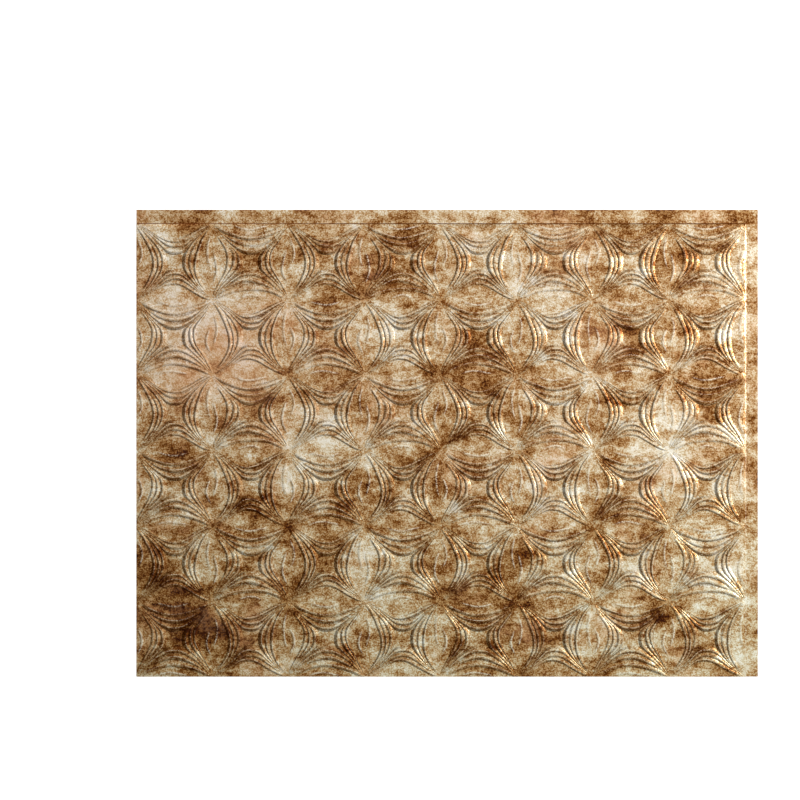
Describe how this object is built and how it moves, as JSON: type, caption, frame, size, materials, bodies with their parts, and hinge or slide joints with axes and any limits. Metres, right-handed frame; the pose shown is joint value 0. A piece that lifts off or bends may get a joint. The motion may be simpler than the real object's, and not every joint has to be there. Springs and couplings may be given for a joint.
{
  "type": "vinyl backsplash panel",
  "caption": "Thin formed vinyl wall panel with a raised lattice of ribbed petals and flat lap flanges along adjoining edges, glued to a wall as a backsplash.",
  "frame": {"origin": "middle of the sheet's cut outline, on the plane of its back", "axes": "+X along the length, towards the side lap flange; +Y up the wall, towards the top lap flange; +Z out of the decorated face"},
  "size_m": [0.616, 0.4628, 0.0024],
  "materials": {
    "bronze_vinyl": "semi-gloss mottled bronze film on rigid PVC"
  },
  "bodies": {
    "root": {"backsplash_panel": "bronze_vinyl"}
  },
  "joints": []
}
